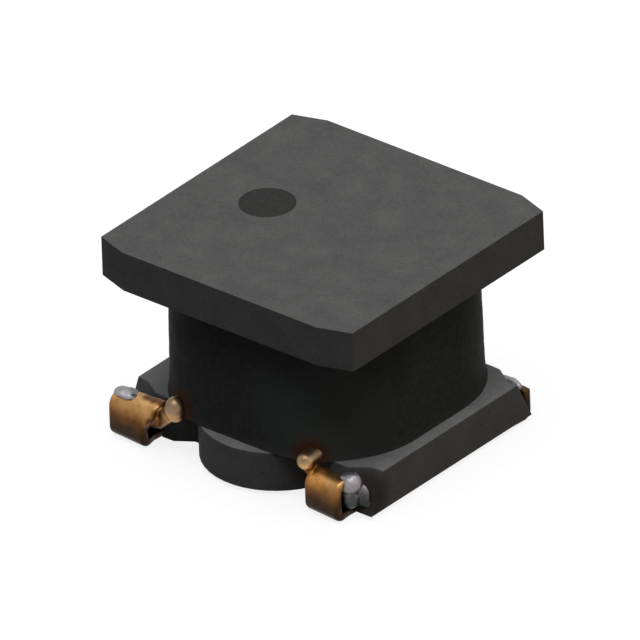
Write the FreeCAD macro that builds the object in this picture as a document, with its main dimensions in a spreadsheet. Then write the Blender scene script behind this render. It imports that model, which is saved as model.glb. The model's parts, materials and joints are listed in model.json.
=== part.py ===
import FreeCAD, Part
import math
import os
import re
import Sketcher
from FreeCAD import Placement, Rotation, Vector

# Shielded surface-mount inductor: a wound ferrite drum core with resin between its flanges.
# Frame: X across the two terminals, Y along the ears that carry them, Z up.
# The origin is the bottom centre, on the seating plane of the terminals. Millimetres.

# Driving sizes: alias, value, what it is
SIZES = [
    ("core_width", 6.0, "top flange, across X and Y"),
    ("core_top", 4.25, "top face above the seating plane"),
    ("top_flange_thick", 0.82, "top flange"),
    ("top_corner_x", 0.68, "corner chamfer of the top flange, along X"),
    ("top_corner_y", 0.22, "corner chamfer of the top flange, along Y"),
    ("foot_width", 5.85, "lower flange, across X"),
    ("foot_bottom", 0.083, "underside of the lower flange above the seating plane"),
    ("foot_thick", 0.813, "lower flange"),
    ("ear_reach", 2.34, "ear end at its foot, from the centre"),
    ("ear_slope", 0.12, "how far the ear end leans back at the top"),
    ("corner_slope", 0.39, "how far the outer corner of the ear leans back at the top"),
    ("corner_flat", 0.225, "straight part of that corner, along X"),
    ("corner_diagonal", 0.42, "its diagonal part, along X"),
    ("ear_width", 1.125, "ear, from the foot's outer side to the notch beside the lobe"),
    ("notch_lean", 0.34, "slanting side of that notch, along X"),
    ("notch_floor", 0.128, "floor of the notch, from its root to the lobe"),
    ("notch_depth", 0.22, "floor of the notch behind the ear's end"),
    ("lobe_rise", 0.81, "round lobe between the ears, in front of the notch's floor"),
    ("wire_dia", 0.42, "enamelled wire"),
    ("coil_rows", 6, "turns in each layer"),
    ("coil_layers", 2, "layers"),
    ("scallop_depth", 0.12, "hollow between neighbouring turns"),
    ("crest_width", 0.18, "outermost part of each turn"),
    ("coil_end_gap", 0.004, "coil to flange, above and below"),
    ("strap_width", 0.76, "flattened wire end"),
    ("strap_thick", 0.19, "flattened wire end"),
    ("strap_inset", 0.635, "middle of the strap from the foot's outer side, halfway along its ear"),
    ("strap_slant", 4.9, "degrees between the straps and the Y axis"),
    ("strap_stand", 0.47, "outer face of the front leg in front of the ear's end"),
    ("strap_back_seat", 0.12, "inner face of the back leg, inside the ear's end"),
    ("back_leg_drop", 0.276, "upper end of the back leg below the top of the lower flange"),
    ("front_leg_rise", 0.084, "upper end of the front leg above that top"),
    ("strap_bend", 0.13, "bend radius at the middle of the strap, below"),
    ("strap_fold", 0.20, "bend radius at the middle of the strap, at the top of the front leg"),
    ("strap_lip", 0.08, "straight lip above the front leg, behind that bend"),
    ("elbow_left", 0.82, "where the left lead turns outside the resin, from the middle of its strap"),
    ("elbow_right", 0.64, "where the right lead turns outside the resin, from the middle of its strap"),
    ("elbow_sink", 0.04, "middle of that turn inside the resin's face"),
    ("elbow_lift", 0.154, "its height above the lower flange"),
    ("lead_left", 50.5, "degrees from the front to where the left lead leaves the coil"),
    ("lead_right", 60.0, "degrees from the front to where the right lead leaves the coil"),
    ("elbow_swell", 1.04, "how much the wire swells in that turn"),
    ("bridge_start", 0.98, "thickness of the flattened stretch at the turn, as a share of the wire"),
    ("bridge_overlap", 0.35, "how far it reaches into the front leg"),
    ("bridge_height", 0.50, "height of that stretch where it meets the leg"),
    ("resin_inset", 0.245, "resin at its foot, inside the foot's outer side"),
    ("resin_wall", 0.54, "resin over the coil at its thinnest, which leaves the post its size"),
    ("resin_flare", 0.03, "how much narrower the resin is at the top, each side"),
    ("resin_corner", 2.0, "corner radius of the resin"),
    ("groove_play", 0.01, "strap to the lining of its groove"),
    ("metal_thick", 0.02, "metallised lining and lands"),
    ("land_width", 1.26, "land, along X"),
    ("land_inset", 0.045, "outer edge of the land, inside the foot's outer side"),
    ("land_setback", 0.16, "end of the land behind the ear's end"),
    ("fill_width", 0.68, "solder behind the front leg, across the strap"),
    ("fill_drop", 0.336, "its top below the top of the lower flange"),
    ("front_lump_size", 0.30, "radius of the solder lump above it"),
    ("front_lump_drop", 0.346, "its middle below the top of the lower flange"),
    ("front_lump_stand", 0.04, "its middle in front of the ear's end"),
    ("front_lump_left", 0.265, "its middle on the left terminal, from the foot's outer side"),
    ("front_lump_right", 0.445, "its middle on the right terminal, from the foot's outer side"),
    ("corner_lump_size", 0.21, "radius of the small lump on the ear's outer corner"),
    ("corner_lump_inset", 0.345, "its middle from the foot's outer side"),
    ("corner_lump_setback", 0.10, "its middle behind the ear's end"),
    ("corner_lump_drop", 0.566, "its middle below the top of the lower flange"),
    ("back_bead_size", 0.13, "radius of the solder bead at the back leg's end"),
    ("back_bead_length", 0.62, "its length"),
    ("back_bead_shift", 0.02, "its middle outside the back leg's inner face"),
    ("dot_dia", 1.08, "polarity dot"),
    ("dot_inset", 1.69, "its middle from the top flange's left side"),
    ("dot_thick", 0.015, "ink, which fills a shallow recess"),
]

doc = FreeCAD.newDocument("inductor")
sheet = doc.addObject("Spreadsheet::Sheet", "Sizes")
for row, (alias, value, note) in enumerate(SIZES, start=1):
    sheet.set(f"A{row}", alias)
    sheet.set(f"B{row}", str(value))
    sheet.set(f"C{row}", note)
    sheet.setAlias(f"B{row}", alias)
doc.recompute()

CELLS = {alias: f"Sizes.{alias}" for alias, value, note in SIZES}


def bound(text):
    """The expression with each size's name pointed at its cell."""
    return re.sub(r"[a-z_]+", lambda found: CELLS.get(found[0], found[0]), text)


def worked_out(text):
    """The number that an expression of the sheet gives now."""
    result = sheet.evalExpression(bound(text))
    return float(getattr(result, "Value", result))


# Sizes that follow from others
FOOT_TOP = "(foot_bottom + foot_thick)"
WINDOW_TOP = "(core_top - top_flange_thick)"
WINDOW = f"({WINDOW_TOP} - {FOOT_TOP})"
FOOT_EDGE = "(foot_width / 2)"
CORNER_IN = f"({FOOT_EDGE} - corner_flat)"
DIAGONAL_IN = f"({CORNER_IN} - corner_diagonal)"
NOTCH_X = f"({FOOT_EDGE} - ear_width)"
NOTCH_ROOT_X = f"({NOTCH_X} - notch_lean)"
NOTCH_Y = "(ear_reach - notch_depth)"
LOBE_EDGE = f"({NOTCH_ROOT_X} - notch_floor)"
LOBE_RADIUS = f"(({LOBE_EDGE} ^ 2 + lobe_rise ^ 2) / (2 * lobe_rise))"
STRAP_CENTRE = f"({FOOT_EDGE} - strap_inset)"
STRAP_FRONT = "(ear_reach + strap_stand)"
STRAP_BACK = "(ear_reach - strap_back_seat)"
FRONT_TOP = f"({FOOT_TOP} + front_leg_rise)"
BACK_TOP = f"({FOOT_TOP} - back_leg_drop)"
FRONT_LEG = f"({STRAP_FRONT} - strap_thick / 2)"
BACK_LEG = f"({STRAP_BACK} + strap_thick / 2)"
RESIN_HALF = f"({FOOT_EDGE} - resin_inset)"
ELBOW_REACH = f"({RESIN_HALF} - elbow_sink)"
ELBOW_HEIGHT = f"({FOOT_TOP} + elbow_lift)"
COIL_RADIUS = f"({RESIN_HALF} - resin_wall)"
POST_RADIUS = f"({COIL_RADIUS} - coil_layers * wire_dia)"
GROOVE_TOP = "(strap_thick + metal_thick)"
GROOVE_WIDTH = "(strap_width + 2 * groove_play + 2 * metal_thick)"
CHANNEL_WIDTH = "(strap_width + 2 * groove_play)"
GROOVE_BACK = f"({STRAP_BACK} - metal_thick)"
LAND_END = "(ear_reach - land_setback)"
LAND_OUTER = f"({FOOT_EDGE} - land_inset)"
DOT_PLACE = "(dot_inset - core_width / 2)"


def new_body(name):
    return doc.addObject("PartDesign::Body", name)


def new_sketch(body, name, role, lift="0", across="0", turn_axis=None, turn="0"):
    """A sketch on one of the body's own origin planes, lifted along the plane's normal."""
    sketch = body.newObject("Sketcher::SketchObject", name)
    plane = next(item for item in body.Origin.OriginFeatures if item.Role == role)
    sketch.AttachmentSupport = [(plane, "")]
    sketch.MapMode = "FlatFace"
    if turn_axis is not None:
        sketch.AttachmentOffset = Placement(Vector(0, 0, 0), Rotation(turn_axis, worked_out(turn)))
        sketch.setExpression("AttachmentOffset.Rotation.Angle", bound(turn))
    sketch.setExpression("AttachmentOffset.Base.z", bound(lift))
    sketch.setExpression("AttachmentOffset.Base.x", bound(across))
    return sketch


def pin(sketch, edge, point, place):
    """Holds one end or centre of an edge at a place given by two expressions."""
    for kind, text in zip(("DistanceX", "DistanceY"), place):
        value = worked_out(text)
        index = sketch.addConstraint(Sketcher.Constraint(kind, -1, 1, edge, point, value))
        sketch.setExpression(f"Constraints[{index}]", bound(text))


def size_radius(sketch, edge, text):
    index = sketch.addConstraint(Sketcher.Constraint("Radius", edge, worked_out(text)))
    sketch.setExpression(f"Constraints[{index}]", bound(text))


def arc_through(start, end, radius, bulge, rise=None):
    """The arc from start to end; bulge 1 bends it to the left of its run, -1 to the right."""
    run = end - start
    middle = (start + end) / 2
    left = Vector(-run.y, run.x, 0).normalize()
    if rise is None:
        rise = radius - math.sqrt(max(radius ** 2 - (run.Length / 2) ** 2, 0))
    return Part.Arc(start, middle + left * bulge * rise, end)


def outline(sketch, corners, closed=True):
    """Draws lines and arcs through corners, each an (x, y) pair of expressions.

    A third item (radius, bulge) makes the edge that leaves that corner an arc. It may also give
    the arc's rise over its chord, which may then be more than a half circle.
    """
    spots = [Vector(worked_out(c[0]), worked_out(c[1]), 0) for c in corners]
    count = len(corners) if closed else len(corners) - 1
    edges = []
    for i in range(count):
        start = spots[i]
        end = spots[(i + 1) % len(spots)]
        if len(corners[i]) > 2:
            radius, bulge, *rise = corners[i][2]
            heights = [worked_out(text) for text in rise]
            arc = arc_through(start, end, worked_out(radius), bulge, *heights)
            edge = sketch.addGeometry(arc, False)
            ends = (1, 2)
            placed = sketch.getPoint(edge, 1)
            if (placed - start).Length > 1e-6:
                ends = (2, 1)
        else:
            edge = sketch.addGeometry(Part.LineSegment(start, end), False)
            ends = (1, 2)
        edges.append((edge, ends))
    for i, (edge, ends) in enumerate(edges):
        pin(sketch, edge, ends[0], corners[i][:2])
        if i + 1 < len(edges) or closed:
            following, following_ends = edges[(i + 1) % len(edges)]
            sketch.addConstraint(
                Sketcher.Constraint("Coincident", edge, ends[1], following, following_ends[0]))
        else:
            pin(sketch, edge, ends[1], corners[-1][:2])
        if len(corners[i]) > 2:
            size_radius(sketch, edge, corners[i][2][0])


def circle(sketch, diameter, place=("0", "0")):
    spot = Vector(worked_out(place[0]), worked_out(place[1]), 0)
    ring = Part.Circle(spot, Vector(0, 0, 1), worked_out(diameter) / 2)
    edge = sketch.addGeometry(ring, False)
    pin(sketch, edge, 3, place)
    size_radius(sketch, edge, f"{diameter} / 2")


def mirrored(corners, flip_x=False, flip_y=False):
    """The corners seen in a mirror, in reverse order when only one axis is flipped."""
    def flipped(corner):
        x = f"0 - {corner[0]}" if flip_x else corner[0]
        y = f"0 - {corner[1]}" if flip_y else corner[1]
        return (x, y)
    result = [flipped(corner) for corner in corners]
    return result if flip_x and flip_y else result[::-1]


def pad(body, name, sketch, length):
    feature = body.newObject("PartDesign::Pad", name)
    feature.Profile = (sketch, [""])
    feature.setExpression("Length", bound(length))
    return feature


def foot_outline(sketch, ear_end, corner_end):
    """One level of the lower flange: two ears with cut corners and two round lobes."""
    quarter = [
        (FOOT_EDGE, corner_end),
        (CORNER_IN, corner_end),
        (DIAGONAL_IN, ear_end),
        (NOTCH_X, ear_end),
        (NOTCH_ROOT_X, NOTCH_Y),
        (LOBE_EDGE, NOTCH_Y),
    ]
    lobe = (LOBE_RADIUS, -1, "lobe_rise")
    back = quarter[:-1] + [quarter[-1] + (lobe,)]
    left = mirrored(quarter, flip_x=True)
    front_left = mirrored(quarter, flip_x=True, flip_y=True)
    front_left = front_left[:-1] + [front_left[-1] + (lobe,)]
    front_right = mirrored(quarter, flip_y=True)
    outline(sketch, back + left + front_left + front_right)


def make_core():
    """The ferrite drum core, bottom to top, then the grooves for the wire ends."""
    body = new_body("core_body")
    foot = new_sketch(body, "foot_level", "XY_Plane", "foot_bottom")
    foot_outline(foot, "ear_reach", "ear_reach")
    upper = new_sketch(body, "foot_upper_level", "XY_Plane", FOOT_TOP)
    foot_outline(upper, "(ear_reach - ear_slope)", "(ear_reach - corner_slope)")
    doc.recompute()
    flange = body.newObject("PartDesign::AdditiveLoft", "lower_flange")
    flange.Profile = (foot, [""])
    flange.Sections = [(upper, [""])]
    flange.Ruled = True
    doc.recompute()

    ring = new_sketch(body, "post_section", "XY_Plane", FOOT_TOP)
    circle(ring, f"(2 * {POST_RADIUS})")
    pad(body, "post", ring, WINDOW)

    plate = new_sketch(body, "top_flange_outline", "XY_Plane", WINDOW_TOP)
    half = "(core_width / 2)"
    quarter = [(half, f"({half} - top_corner_y)"), (f"({half} - top_corner_x)", half)]
    outline(plate, quarter + mirrored(quarter, flip_x=True)
            + mirrored(quarter, flip_x=True, flip_y=True) + mirrored(quarter, flip_y=True))
    pad(body, "top_flange", plate, "top_flange_thick")
    recess = new_sketch(body, "dot_recess_outline", "XY_Plane", "core_top")
    circle(recess, "dot_dia", (DOT_PLACE, "0"))
    dip = body.newObject("PartDesign::Pocket", "dot_recess")
    dip.Profile = (recess, [""])
    dip.setExpression("Length", bound("dot_thick"))
    doc.recompute()

    for side, name in ((1, "right"), (-1, "left")):
        before = body.Shape.Volume
        groove = strap_plane(body, f"groove_{name}_shape", side)
        clear = "(core_width)"
        outline(groove, [
            (f"0 - {clear}", f"0 - {clear}"),
            (f"0 - {clear}", GROOVE_TOP),
            (GROOVE_BACK, GROOVE_TOP),
            (GROOVE_BACK, f"({FOOT_TOP} + top_flange_thick)"),
            (clear, f"({FOOT_TOP} + top_flange_thick)"),
            (clear, f"0 - {clear}"),
        ])
        cut = body.newObject("PartDesign::Pocket", f"groove_{name}")
        cut.Profile = (groove, [""])
        cut.SideType = "Symmetric"
        cut.setExpression("Length", bound(GROOVE_WIDTH))
        doc.recompute()
        if body.Shape.Volume >= before:
            raise RuntimeError(f"groove_{name} cuts nothing")
    return body


def strap_plane(body, name, side):
    """A sketch in the upright plane that runs along the middle of one strap; X is along it, Y is up."""
    return new_sketch(body, name, "YZ_Plane", lift=f"{side} * {STRAP_CENTRE}",
                      turn_axis=Vector(0, 1, 0), turn="0 - strap_slant")


def make_coil():
    """The turns on the post, as one ring with a scalloped outer side."""
    body = new_body("coil_body")
    sketch = new_sketch(body, "coil_section", "XZ_Plane")
    rows = int(worked_out("coil_rows"))
    low = f"({FOOT_TOP} + coil_end_gap)"
    pitch = f"(({WINDOW} - 2 * coil_end_gap) / coil_rows)"
    hollow = f"({COIL_RADIUS} - scallop_depth)"
    corners = [(POST_RADIUS, low), (hollow, low)]
    for turn in range(rows):
        foot = f"{low} + {turn} * {pitch}"
        corners.append((COIL_RADIUS, f"({foot} + {pitch} / 2 - crest_width / 2)"))
        corners.append((COIL_RADIUS, f"({foot} + {pitch} / 2 + crest_width / 2)"))
        corners.append((hollow, f"({foot} + {pitch})"))
    corners.append((POST_RADIUS, f"({low} + {rows} * {pitch})"))
    outline(sketch, corners)
    coil = body.newObject("PartDesign::Revolution", "coil")
    coil.Profile = (sketch, [""])
    coil.ReferenceAxis = (sketch, ["V_Axis"])
    coil.Angle = 360
    return body


def slot_section(sketch):
    """The flattened wire: flat above and below, with edges rounded in four facets."""
    reach = "((strap_width - strap_thick) / 2)"
    edge = "(strap_thick / 2)"
    slope = "(strap_thick / 2 * sqrt(0.5))"
    half = [(reach, edge), (f"({reach} + {slope})", slope), (f"({reach} + {edge})", "0"),
            (f"({reach} + {slope})", f"(0 - {slope})"), (reach, f"(0 - {edge})")]
    outline(sketch, half + [(f"(0 - {x})", y) for x, y in reversed(half)])


def make_hook(side, name):
    """One flattened wire end: over the front of the ear, down, under it and up its back."""
    body = new_body(f"hook_{name}_body")
    bottom = "(strap_thick / 2)"
    top = f"({FRONT_TOP} - strap_thick / 2)"
    front = f"(0 - {FRONT_LEG})"
    lip_end = f"({front} + strap_fold + strap_lip)"
    route = strap_plane(body, f"hook_{name}_route", side)
    outline(route, [
        (lip_end, top),
        (f"({front} + strap_fold)", top, ("strap_fold", -1)),
        (front, f"({top} - strap_fold)"),
        (front, f"({bottom} + strap_bend)", ("strap_bend", -1)),
        (f"({front} + strap_bend)", bottom),
        (f"({BACK_LEG} - strap_bend)", bottom, ("strap_bend", -1)),
        (BACK_LEG, f"({bottom} + strap_bend)"),
        (BACK_LEG, BACK_TOP),
    ], closed=False)
    section = new_sketch(body, f"hook_{name}_section", "XY_Plane", BACK_TOP,
                         turn_axis=Vector(0, 0, 1), turn="0 - strap_slant")
    section.setExpression("AttachmentOffset.Base.x",
                          bound(f"{side} * {STRAP_CENTRE} + {BACK_LEG} * sin(strap_slant * 1deg)"))
    section.setExpression("AttachmentOffset.Base.y",
                          bound(f"{BACK_LEG} * cos(strap_slant * 1deg)"))
    slot_section(section)
    doc.recompute()
    hook = body.newObject("PartDesign::AdditivePipe", f"hook_{name}")
    hook.Profile = (section, [""])
    hook.Spine = (route, [""])
    return body


def stadium(place, width_way, thick_way, width, thick):
    """A closed wire with straight sides and round ends, about one point of a lead."""
    reach = width_way * ((width - thick) / 2)
    out = width_way * (thick / 2)
    up = thick_way * (thick / 2)
    return Part.Wire([
        Part.LineSegment(place + reach + up, place - reach + up).toShape(),
        Part.Arc(place - reach + up, place - reach - out, place - reach - up).toShape(),
        Part.LineSegment(place - reach - up, place + reach - up).toShape(),
        Part.Arc(place + reach - up, place + reach + out, place + reach + up).toShape(),
    ])


def make_lead(side, name):
    """One lead: a round run out of the coil, a turn outside the resin, a flattened bridge to its leg."""
    wire = worked_out("wire_dia")
    turn_x = side * worked_out(f"{STRAP_CENTRE} - elbow_{name}")
    elbow = Vector(turn_x, -worked_out(ELBOW_REACH), worked_out(ELBOW_HEIGHT))
    root_circle = worked_out(f"{COIL_RADIUS} - scallop_depth - wire_dia / 2")
    leave = math.radians(worked_out(f"lead_{name}"))
    root = Vector(side * math.sin(leave), -math.cos(leave), 0) * root_circle
    root.z = worked_out(f"{FOOT_TOP} + wire_dia")

    run = doc.addObject("Part::Cylinder", f"lead_{name}_run")
    run.setExpression("Radius", bound("wire_dia / 2"))
    run.Height = (elbow - root).Length
    run.Placement = Placement(root, Rotation(Vector(0, 0, 1), elbow - root))
    turn = doc.addObject("Part::Sphere", f"lead_{name}_turn")
    turn.setExpression("Radius", bound("wire_dia / 2 * elbow_swell"))
    turn.Placement.Base = elbow

    slant = math.radians(worked_out("strap_slant"))
    along = Vector(math.sin(slant), math.cos(slant), 0)
    across = Vector(math.cos(slant), -math.sin(slant), 0)
    leg = Vector(side * worked_out(STRAP_CENTRE), 0, 0) - along * worked_out(FRONT_LEG)
    outward = 1 if leg.x > turn_x else -1
    thick = worked_out("strap_thick")
    inner_edge = leg - across * (outward * worked_out("strap_width / 2"))
    meet = inner_edge + across * (outward * worked_out("bridge_overlap"))
    meet.z = worked_out(f"{FRONT_TOP} - bridge_height / 2")
    heading = (meet - elbow).normalize()
    level = Vector(0, 0, 1).cross(heading).normalize()
    upright = heading.cross(level)
    near = stadium(elbow, upright, level, wire, worked_out("wire_dia * bridge_start"))
    far = stadium(meet, Vector(0, 0, 1), along * outward, worked_out("bridge_height"), thick)
    bridge = doc.addObject("Part::Feature", f"lead_{name}_bridge")
    bridge.Shape = Part.makeLoft([near, far], True, True)
    return [run, turn, bridge]


def fused(name, parts):
    """The parts joined one after the other."""
    whole = parts[0]
    for count, piece in enumerate(parts[1:], start=1):
        joined = doc.addObject("Part::Fuse", f"{name}_{count}")
        joined.Base = whole
        joined.Tool = piece
        joined.Refine = False
        whole = joined
    return whole


def group(name, parts):
    """Parts that belong to one node and don't touch."""
    whole = doc.addObject("Part::Compound", name)
    whole.Links = parts
    return whole


def cut_by(name, base, tools):
    """The base with each tool taken out of it in turn, so that the faces meet exactly."""
    for tool in tools:
        result = doc.addObject("Part::Cut", f"{name}_less_{tool.Name}")
        result.Base = base
        result.Tool = tool
        base = result
    return base


def make_resin_block():
    body = new_body("resin_body")
    levels = []
    for name, lift, half in (("resin_foot", FOOT_TOP, RESIN_HALF),
                             ("resin_head", WINDOW_TOP, f"({RESIN_HALF} - resin_flare)")):
        sketch = new_sketch(body, name, "XY_Plane", lift)
        flat = f"({half} - resin_corner)"
        bend = ("resin_corner", -1)
        outline(sketch, [
            (half, flat, bend), (flat, half), (f"0 - {flat}", half, bend), (f"0 - {half}", flat),
            (f"0 - {half}", f"0 - {flat}", bend), (f"0 - {flat}", f"0 - {half}"),
            (flat, f"0 - {half}", bend), (half, f"0 - {flat}"),
        ])
        levels.append(sketch)
    doc.recompute()
    block = body.newObject("PartDesign::AdditiveLoft", "resin_block")
    block.Profile = (levels[0], [""])
    block.Sections = [(levels[1], [""])]
    block.Ruled = True
    doc.recompute()
    cavity = new_sketch(body, "coil_room_outline", "XY_Plane", WINDOW_TOP)
    circle(cavity, f"(2 * {COIL_RADIUS})")
    room = body.newObject("PartDesign::Pocket", "coil_room")
    room.Profile = (cavity, [""])
    room.setExpression("Length", bound(WINDOW))
    return body


def box(name, low, high, side=None):
    """A box between two corners given by expressions; side turns and shifts it into a strap's plane."""
    block = doc.addObject("Part::Box", name)
    for axis, size in enumerate(("Length", "Width", "Height")):
        block.setExpression(size, bound(f"({high[axis]}) - ({low[axis]})"))
    if side is None:
        for axis, letter in enumerate("xyz"):
            block.setExpression(f"Placement.Base.{letter}", bound(low[axis]))
        return block
    block.Placement = Placement(Vector(0, 0, 0), Rotation(Vector(0, 0, 1), -worked_out("strap_slant")))
    block.setExpression("Placement.Rotation.Angle", bound("0 - strap_slant"))
    turned_x = f"({low[0]}) * cos(strap_slant * 1deg) + ({low[1]}) * sin(strap_slant * 1deg)"
    turned_y = f"({low[1]}) * cos(strap_slant * 1deg) - ({low[0]}) * sin(strap_slant * 1deg)"
    block.setExpression("Placement.Base.x", bound(f"{side} * {STRAP_CENTRE} + {turned_x}"))
    block.setExpression("Placement.Base.y", bound(turned_y))
    block.setExpression("Placement.Base.z", bound(low[2]))
    return block


def side_box(name, side, low, high):
    """A box that is square to the ear, its X limits measured outwards from the centre."""
    if side > 0:
        return box(name, low, high)
    return box(name, (f"0 - {high[0]}", low[1], low[2]), (f"0 - {low[0]}", high[1], high[2]))


def ball(name, place, radius):
    lump = doc.addObject("Part::Sphere", name)
    lump.setExpression("Radius", bound(radius))
    for letter, text in zip("xyz", place):
        lump.setExpression(f"Placement.Base.{letter}", bound(text))
    return lump


def bead(name, side):
    """A round bead of solder across the upper end of the back leg."""
    rod = doc.addObject("Part::Cylinder", name)
    rod.setExpression("Radius", bound("back_bead_size"))
    rod.setExpression("Height", bound("back_bead_length"))
    slant = worked_out("strap_slant")
    across = Vector(math.cos(math.radians(slant)), -math.sin(math.radians(slant)), 0)
    along = Vector(-across.y, across.x, 0)
    middle = Vector(side * worked_out(STRAP_CENTRE), 0, 0)
    middle += along * worked_out(f"{STRAP_BACK} + back_bead_shift")
    middle.z = worked_out(BACK_TOP)
    rod.Placement = Placement(middle - across * worked_out("back_bead_length / 2"),
                              Rotation(Vector(0, 0, 1), across))
    return rod


def make_electrode(side, name):
    """The metallised land under one ear and the lining of its wire groove."""
    low = "(foot_bottom - metal_thick)"
    land = side_box(f"land_{name}", side, (f"({LAND_OUTER} - land_width)", f"0 - {LAND_END}", low),
                    (LAND_OUTER, LAND_END, "foot_bottom"))
    half_groove = f"({GROOVE_WIDTH} / 2)"
    lining = box(f"lining_{name}", (f"0 - {half_groove}", f"0 - {LAND_END}", low),
                 (half_groove, LAND_END, GROOVE_TOP), side)
    half_channel = f"({CHANNEL_WIDTH} / 2)"
    channel = box(f"channel_{name}", (f"0 - {half_channel}", "0 - core_width", "0 - core_width"),
                  (half_channel, "core_width", "strap_thick"), side)
    return cut_by(f"electrode_{name}", fused(f"metal_{name}", [land, lining]), [channel])


def make_solder(side, name, neighbours):
    """The solder of one terminal: a fill behind the front leg, lumps beside it, and a joint at the back."""
    fill = box(f"fill_{name}", ("0 - fill_width / 2", f"strap_thick - {STRAP_FRONT}", GROOVE_TOP),
               ("fill_width / 2", f"0 - {LAND_END}", f"{FOOT_TOP} - fill_drop"), side)
    front = ball(f"front_lump_{name}",
                 (f"{side} * ({FOOT_EDGE} - front_lump_{name})", "0 - ear_reach - front_lump_stand",
                  f"{FOOT_TOP} - front_lump_drop"), "front_lump_size")
    corner = ball(f"corner_lump_{name}",
                  (f"{side} * ({FOOT_EDGE} - corner_lump_inset)", "corner_lump_setback - ear_reach",
                   f"{FOOT_TOP} - corner_lump_drop"), "corner_lump_size")
    back = bead(f"back_bead_{name}", side)
    front_joint = cut_by(f"front_joint_{name}", fused(f"front_{name}", [fill, front, corner]), neighbours)
    back_joint = cut_by(f"back_joint_{name}", back, neighbours)
    return group(f"solder_{name}", [front_joint, back_joint])


def make_dot():
    body = new_body("dot_body")
    sketch = new_sketch(body, "dot_outline", "XY_Plane", "(core_top - dot_thick)")
    circle(sketch, "dot_dia", (DOT_PLACE, "0"))
    pad(body, "dot", sketch, "dot_thick")
    return body


SIDES = ((-1, "left"), (1, "right"))
HOOK_SHARE = 0.7  # at least this much of each wire end lies outside the coil

core = make_core()
coil = make_coil()
ends = [fused(f"end_{name}", make_lead(side, name) + [make_hook(side, name)]) for side, name in SIDES]
winding = fused("wire", [coil] + ends)
resin = cut_by("resin", make_resin_block(), ends)

nodes = {
    "drum_core": core,
    "winding": winding,
    "resin_shield": resin,
    "polarity_mark": make_dot(),
}
for side, name in SIDES:
    electrode = make_electrode(side, name)
    nodes[f"electrode_{name}"] = electrode
    nodes[f"solder_{name}"] = make_solder(side, name, [core, winding, electrode])

doc.recompute()

if winding.Shape.Volume < coil.Shape.Volume + 2 * HOOK_SHARE * ends[0].Shape.Volume:
    raise RuntimeError("the wire lost a piece when it was joined")

# Every feature is sound before anything is written
for item in doc.Objects:
    if "Invalid" in item.State or "Error" in item.State:
        raise RuntimeError(f"{item.Name} failed: {item.State}")
for name, item in nodes.items():
    if item.Shape.isNull() or not item.Shape.isValid():
        raise RuntimeError(f"{name} has no valid shape")
    if len(item.Shape.Solids) != 1:
        print(f"{name} has {len(item.Shape.Solids)} solids")
    item.Label = name

os.makedirs("parts", exist_ok=True)
for name, item in nodes.items():
    item.Shape.exportStep(f"parts/{name}.step")
    corners = item.Shape.BoundBox
    print(f"{name}: {len(item.Shape.Solids)} solid(s), {item.Shape.Volume:.4f} mm3, "
          f"x {corners.XMin:.3f} {corners.XMax:.3f}, y {corners.YMin:.3f} {corners.YMax:.3f}, "
          f"z {corners.ZMin:.3f} {corners.ZMax:.3f}")
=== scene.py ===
import json
import math

import bmesh
import bpy
from mathutils import Matrix, Vector, noise


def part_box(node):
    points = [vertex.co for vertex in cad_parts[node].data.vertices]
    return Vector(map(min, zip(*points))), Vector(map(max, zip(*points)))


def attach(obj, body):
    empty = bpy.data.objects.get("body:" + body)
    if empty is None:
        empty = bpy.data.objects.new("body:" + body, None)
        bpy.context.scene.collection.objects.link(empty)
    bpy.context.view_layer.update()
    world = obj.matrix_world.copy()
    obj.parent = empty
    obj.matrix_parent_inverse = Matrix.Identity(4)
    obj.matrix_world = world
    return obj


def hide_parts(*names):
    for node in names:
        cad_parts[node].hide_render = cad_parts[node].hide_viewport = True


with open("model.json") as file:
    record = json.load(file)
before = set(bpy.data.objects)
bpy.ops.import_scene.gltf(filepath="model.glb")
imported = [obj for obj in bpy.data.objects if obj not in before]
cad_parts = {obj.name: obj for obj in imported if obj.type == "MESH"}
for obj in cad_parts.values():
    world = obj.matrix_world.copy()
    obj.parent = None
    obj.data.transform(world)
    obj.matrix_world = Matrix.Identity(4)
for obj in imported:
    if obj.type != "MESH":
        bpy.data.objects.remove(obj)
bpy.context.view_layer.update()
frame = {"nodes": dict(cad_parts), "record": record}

# The part's sizes are in millimetres, with +X to the right, +Y to the back and +Z up from the board
MM = 0.001
UP = Vector((0, 0, 1))
NODES = frame["nodes"]


# Camera: it looks down on the corner between the two near sides, as the photograph does
AZIMUTH = math.radians(40.4)
ELEVATION = math.radians(30.2)
ROLL = math.radians(2.08)
FRAME_PIXELS = 640
PIXELS_PER_MM = 54.17
TOP_CENTRE_RIGHT = 2.1 / PIXELS_PER_MM
TOP_CENTRE_UP = 96.2 / PIXELS_PER_MM
CAMERA_DISTANCE = 60.0
NEAREST_SEEN = 0.1
FURTHEST_SEEN = 10000.0


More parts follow.
